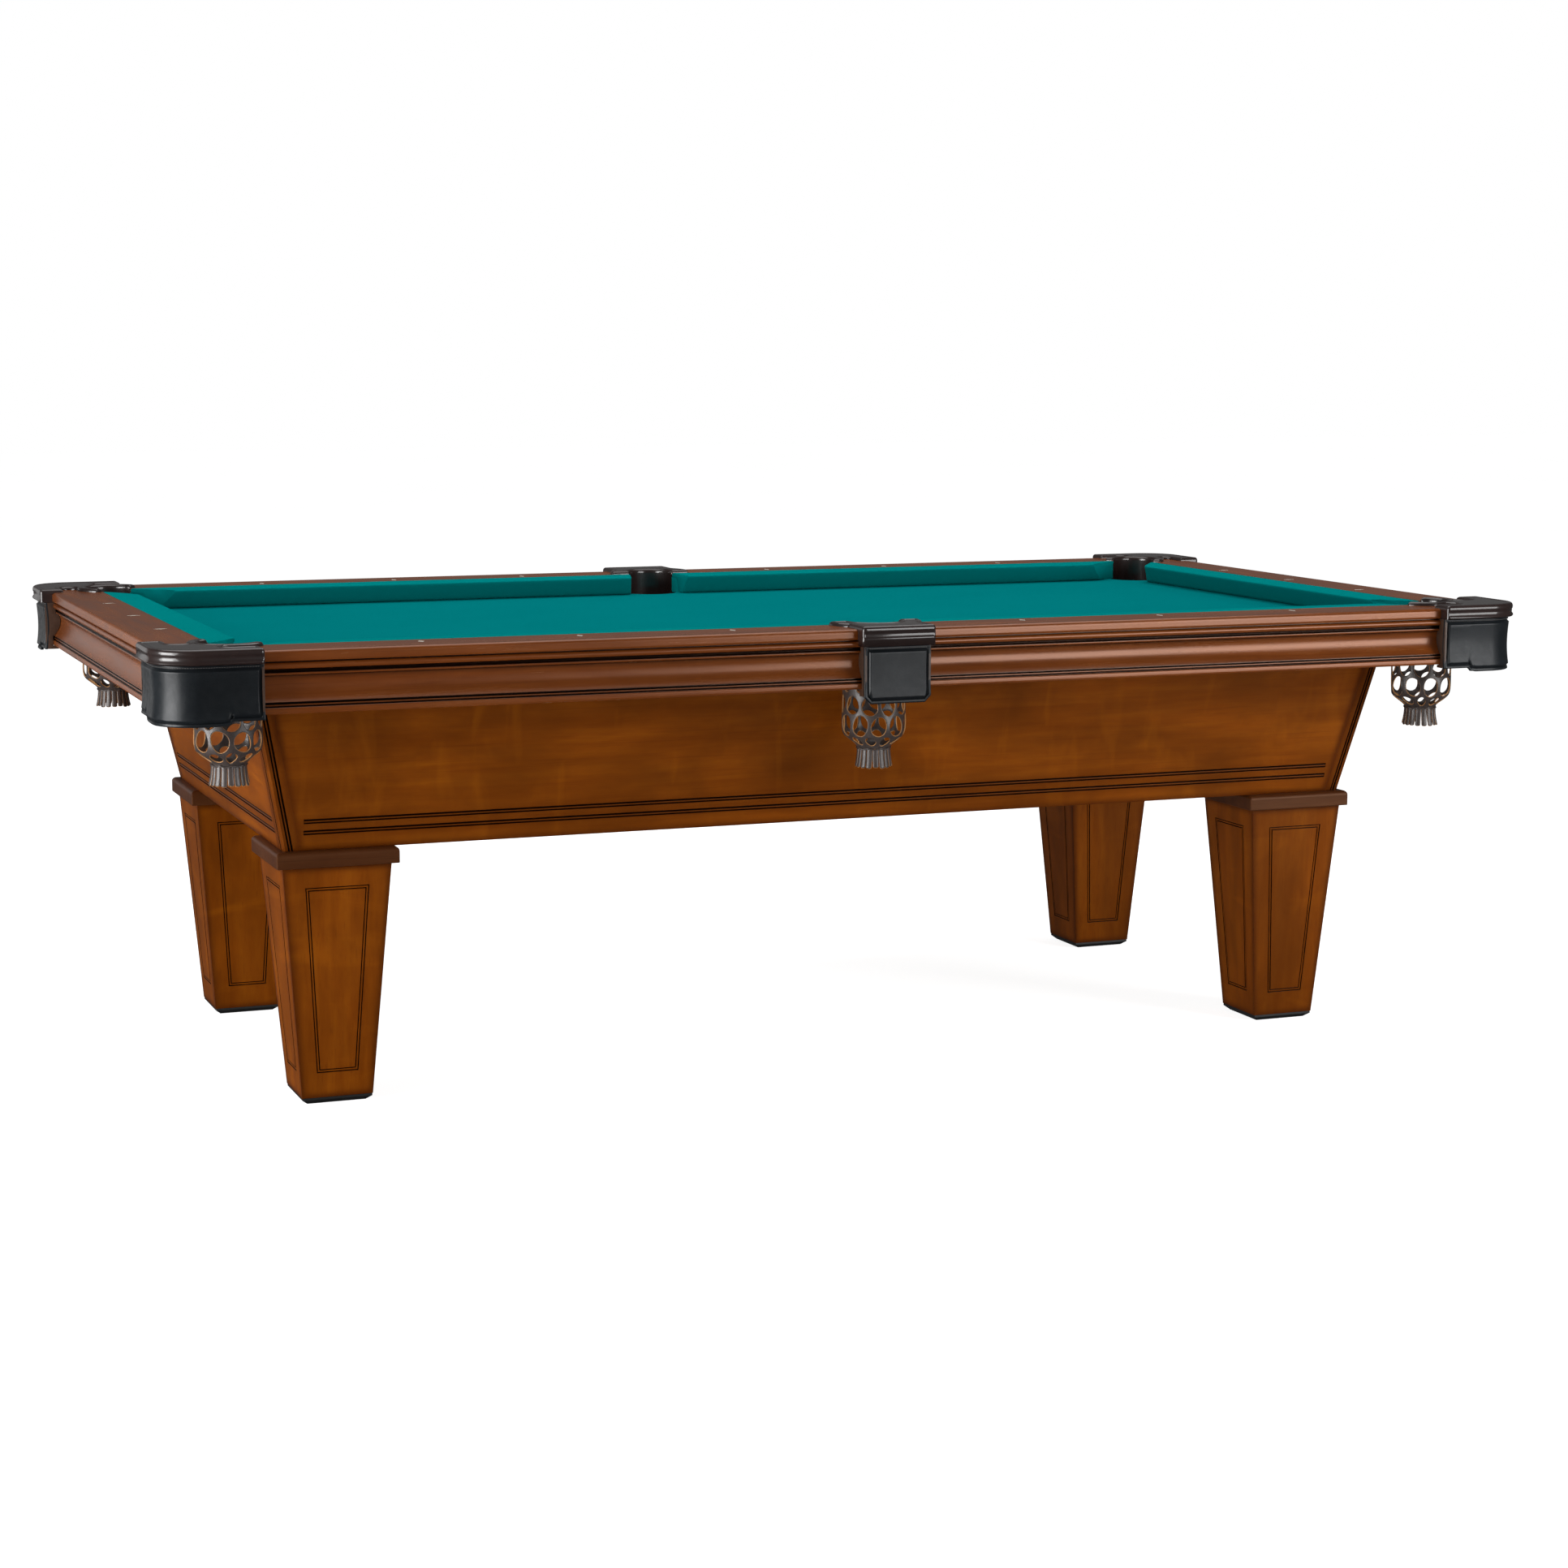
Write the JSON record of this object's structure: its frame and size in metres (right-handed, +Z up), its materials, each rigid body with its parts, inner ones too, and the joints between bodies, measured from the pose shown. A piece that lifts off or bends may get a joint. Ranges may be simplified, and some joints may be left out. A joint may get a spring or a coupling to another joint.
{
  "type": "pool table",
  "caption": "Full-size drop-pocket pool table with moulded wooden rails, cloth bed and cushions, leather pockets with shields and hanging nets, tapered cabinet and legs on levelling feet.",
  "frame": {"origin": "on the floor at the centre of the four feet", "axes": "+X along the table's length, +Y across it, +Z up"},
  "size_m": [2.603, 1.4854, 0.839],
  "materials": {
    "rail_wood": "gloss lacquered red-brown hardwood",
    "cabinet_wood": "satin lacquered honey-brown hardwood",
    "cap_wood": "dark mahogany lacquer",
    "frame_wood": "plain sawn softwood",
    "cushion_cloth": "teal wool cloth over rubber",
    "bed_cloth": "teal wool cloth, stretched",
    "pocket_leather": "dark brown glossy moulded leather",
    "shield_leather": "charcoal satin embossed leather",
    "net_leather": "cut leather bag, dull dark brown",
    "slate": null,
    "foot_black": "black moulded foot pad",
    "sight_pearl": "pearl inlay",
    "steel": "zinc-plated steel"
  },
  "bodies": {
    "table": {"rail_front_left": "rail_wood", "rail_front_right": "rail_wood", "rail_back_left": "rail_wood", "rail_back_right": "rail_wood", "rail_left": "rail_wood", "rail_right": "rail_wood", "skirt_front_left": "rail_wood", "skirt_front_right": "rail_wood", "skirt_back_left": "rail_wood", "skirt_back_right": "rail_wood", "skirt_left": "rail_wood", "skirt_right": "rail_wood", "cushion_front_left": "cushion_cloth", "cushion_front_right": "cushion_cloth", "cushion_back_left": "cushion_cloth", "cushion_back_right": "cushion_cloth", "cushion_left": "cushion_cloth", "cushion_right": "cushion_cloth", "corner_iron_front_left": "pocket_leather", "corner_iron_front_right": "pocket_leather", "corner_iron_back_left": "pocket_leather", "corner_iron_back_right": "pocket_leather", "side_iron_front": "pocket_leather", "side_iron_back": "pocket_leather", "corner_shield_front_left": "shield_leather", "corner_shield_front_right": "shield_leather", "corner_shield_back_left": "shield_leather", "corner_shield_back_right": "shield_leather", "side_shield_front": "shield_leather", "side_shield_back": "shield_leather", "corner_net_front_left": "net_leather", "corner_net_front_right": "net_leather", "corner_net_back_left": "net_leather", "corner_net_back_right": "net_leather", "side_net_front": "net_leather", "side_net_back": "net_leather", "slate_left": "slate", "slate_centre": "slate", "slate_right": "slate", "bed_cloth": "bed_cloth", "slate_backing": "frame_wood", "apron_front": "cabinet_wood", "apron_back": "cabinet_wood", "apron_left": "cabinet_wood", "apron_right": "cabinet_wood", "corner_posts": "cabinet_wood", "frame_beams": "frame_wood", "leg_front_left": "cabinet_wood", "leg_front_right": "cabinet_wood", "leg_back_left": "cabinet_wood", "leg_back_right": "cabinet_wood", "leg_caps": "cap_wood", "foot_nuts": "steel", "sights": "sight_pearl", "rail_bolts": "steel", "leg_bolts": "steel"},
    "foot_front_left": {"foot_front_left": "foot_black"},
    "foot_front_right": {"foot_front_right": "foot_black"},
    "foot_back_left": {"foot_back_left": "foot_black"},
    "foot_back_right": {"foot_back_right": "foot_black"}
  },
  "joints": [
    {"name": "foot_screw_front_left", "type": "slide", "parent": "table", "child": "foot_front_left", "axis": [0, 0, -1], "range_m": [0, 0.019]},
    {"name": "foot_screw_front_right", "type": "slide", "parent": "table", "child": "foot_front_right", "axis": [0, 0, -1], "range_m": [0, 0.019]},
    {"name": "foot_screw_back_left", "type": "slide", "parent": "table", "child": "foot_back_left", "axis": [0, 0, -1], "range_m": [0, 0.019]},
    {"name": "foot_screw_back_right", "type": "slide", "parent": "table", "child": "foot_back_right", "axis": [0, 0, -1], "range_m": [0, 0.019]}
  ]
}
